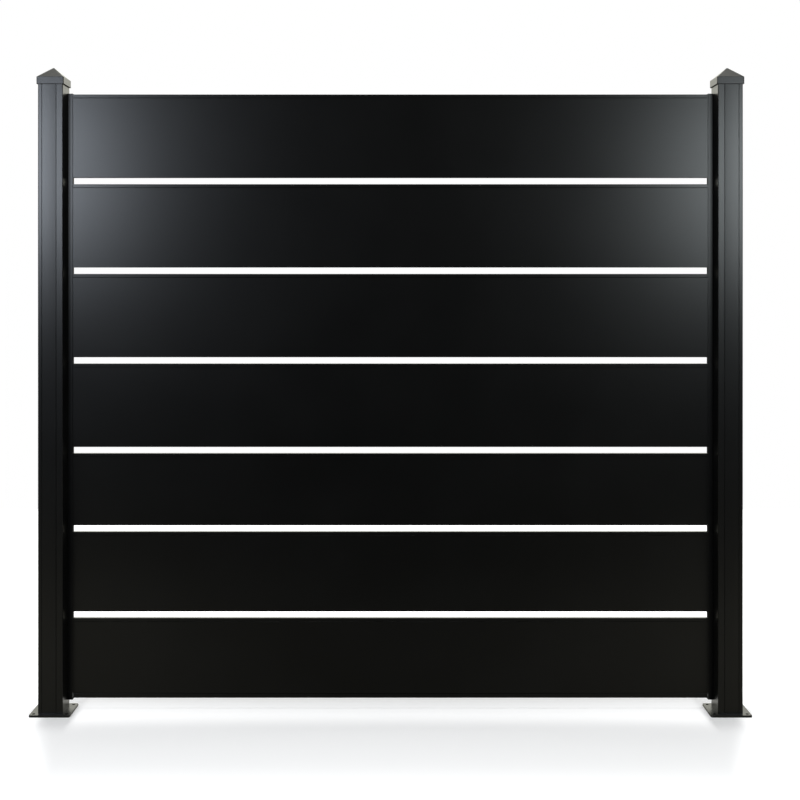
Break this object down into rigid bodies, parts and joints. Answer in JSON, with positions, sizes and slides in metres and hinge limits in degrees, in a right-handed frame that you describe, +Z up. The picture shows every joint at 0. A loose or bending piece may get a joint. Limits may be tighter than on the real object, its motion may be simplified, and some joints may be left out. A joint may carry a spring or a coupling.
{
  "type": "slatted fence panel",
  "caption": "Black aluminium slatted fence panel: wide level slats with narrow gaps, held in side channels between square capped posts on bolt-down base plates.",
  "frame": {"origin": "on the ground, midway between the two posts and under the middle of the base plates", "axes": "+X along the fence to the right as seen from the front, +Y to the back, +Z up"},
  "size_m": [2.025, 0.098, 1.8248],
  "materials": {
    "post_coat": "satin black powder coat",
    "cap_coat": "satin black powder coat",
    "plate_coat": "satin black powder coat",
    "channel_coat": "satin black powder coat",
    "slat_coat": "satin black powder coat",
    "black_nylon": "moulded black nylon",
    "screw_steel": "zinc-plated steel"
  },
  "bodies": {
    "root": {"bottom_rail": "slat_coat", "left_base_plate": "plate_coat", "left_base_screws": "screw_steel", "left_cap": "cap_coat", "left_channel": "channel_coat", "left_channel_screws": "screw_steel", "left_post": "post_coat", "left_spacer_1": "black_nylon", "left_spacer_2": "black_nylon", "left_spacer_3": "black_nylon", "left_spacer_4": "black_nylon", "left_spacer_5": "black_nylon", "left_spacer_6": "black_nylon", "left_support": "black_nylon", "left_support_screw": "screw_steel", "left_top_plug": "black_nylon", "right_base_plate": "plate_coat", "right_base_screws": "screw_steel", "right_cap": "cap_coat", "right_channel": "channel_coat", "right_channel_screws": "screw_steel", "right_post": "post_coat", "right_spacer_1": "black_nylon", "right_spacer_2": "black_nylon", "right_spacer_3": "black_nylon", "right_spacer_4": "black_nylon", "right_spacer_5": "black_nylon", "right_spacer_6": "black_nylon", "right_support": "black_nylon", "right_support_screw": "screw_steel", "right_top_plug": "black_nylon", "slat_1": "slat_coat", "slat_2": "slat_coat", "slat_3": "slat_coat", "slat_4": "slat_coat", "slat_5": "slat_coat", "slat_6": "slat_coat", "slat_7": "slat_coat"}
  },
  "joints": []
}
